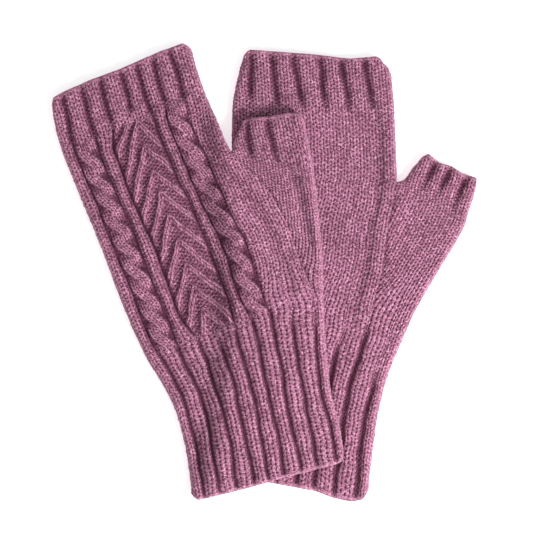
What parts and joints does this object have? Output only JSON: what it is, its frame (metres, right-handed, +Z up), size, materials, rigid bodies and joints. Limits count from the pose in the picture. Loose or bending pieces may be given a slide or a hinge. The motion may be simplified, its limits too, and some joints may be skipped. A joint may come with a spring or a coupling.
{
  "type": "pair of fingerless mittens",
  "caption": "Pair of fingerless knitted mittens laid flat and crossed, with ribbed cuffs and a cabled back.",
  "frame": {"origin": "centre of the bounding box in plan, on the surface that the pair lies on", "axes": "+Z up from the surface, +Y from the cuffs towards the finger edges, +X towards the lower mitten's thumb"},
  "size_m": [0.223, 0.2394, 0.0147],
  "materials": {
    "left_cuff": "soft brushed wool knit, heathered mauve pink",
    "left_hand": "soft brushed wool knit, heathered mauve pink",
    "left_finger_band": "soft brushed wool knit, heathered mauve pink",
    "left_thumb": "soft brushed wool knit, heathered mauve pink",
    "left_thumb_band": "soft brushed wool knit, heathered mauve pink",
    "right_cuff": "soft brushed wool knit, heathered mauve pink",
    "right_hand": "soft brushed wool knit, heathered mauve pink",
    "right_finger_band": "soft brushed wool knit, heathered mauve pink",
    "right_thumb": "soft brushed wool knit, heathered mauve pink",
    "right_thumb_band": "soft brushed wool knit, heathered mauve pink"
  },
  "bodies": {
    "root": {"left_cuff": "left_cuff", "left_hand": "left_hand", "left_finger_band": "left_finger_band", "left_thumb": "left_thumb", "left_thumb_band": "left_thumb_band", "right_cuff": "right_cuff", "right_hand": "right_hand", "right_finger_band": "right_finger_band", "right_thumb": "right_thumb", "right_thumb_band": "right_thumb_band"}
  },
  "joints": []
}
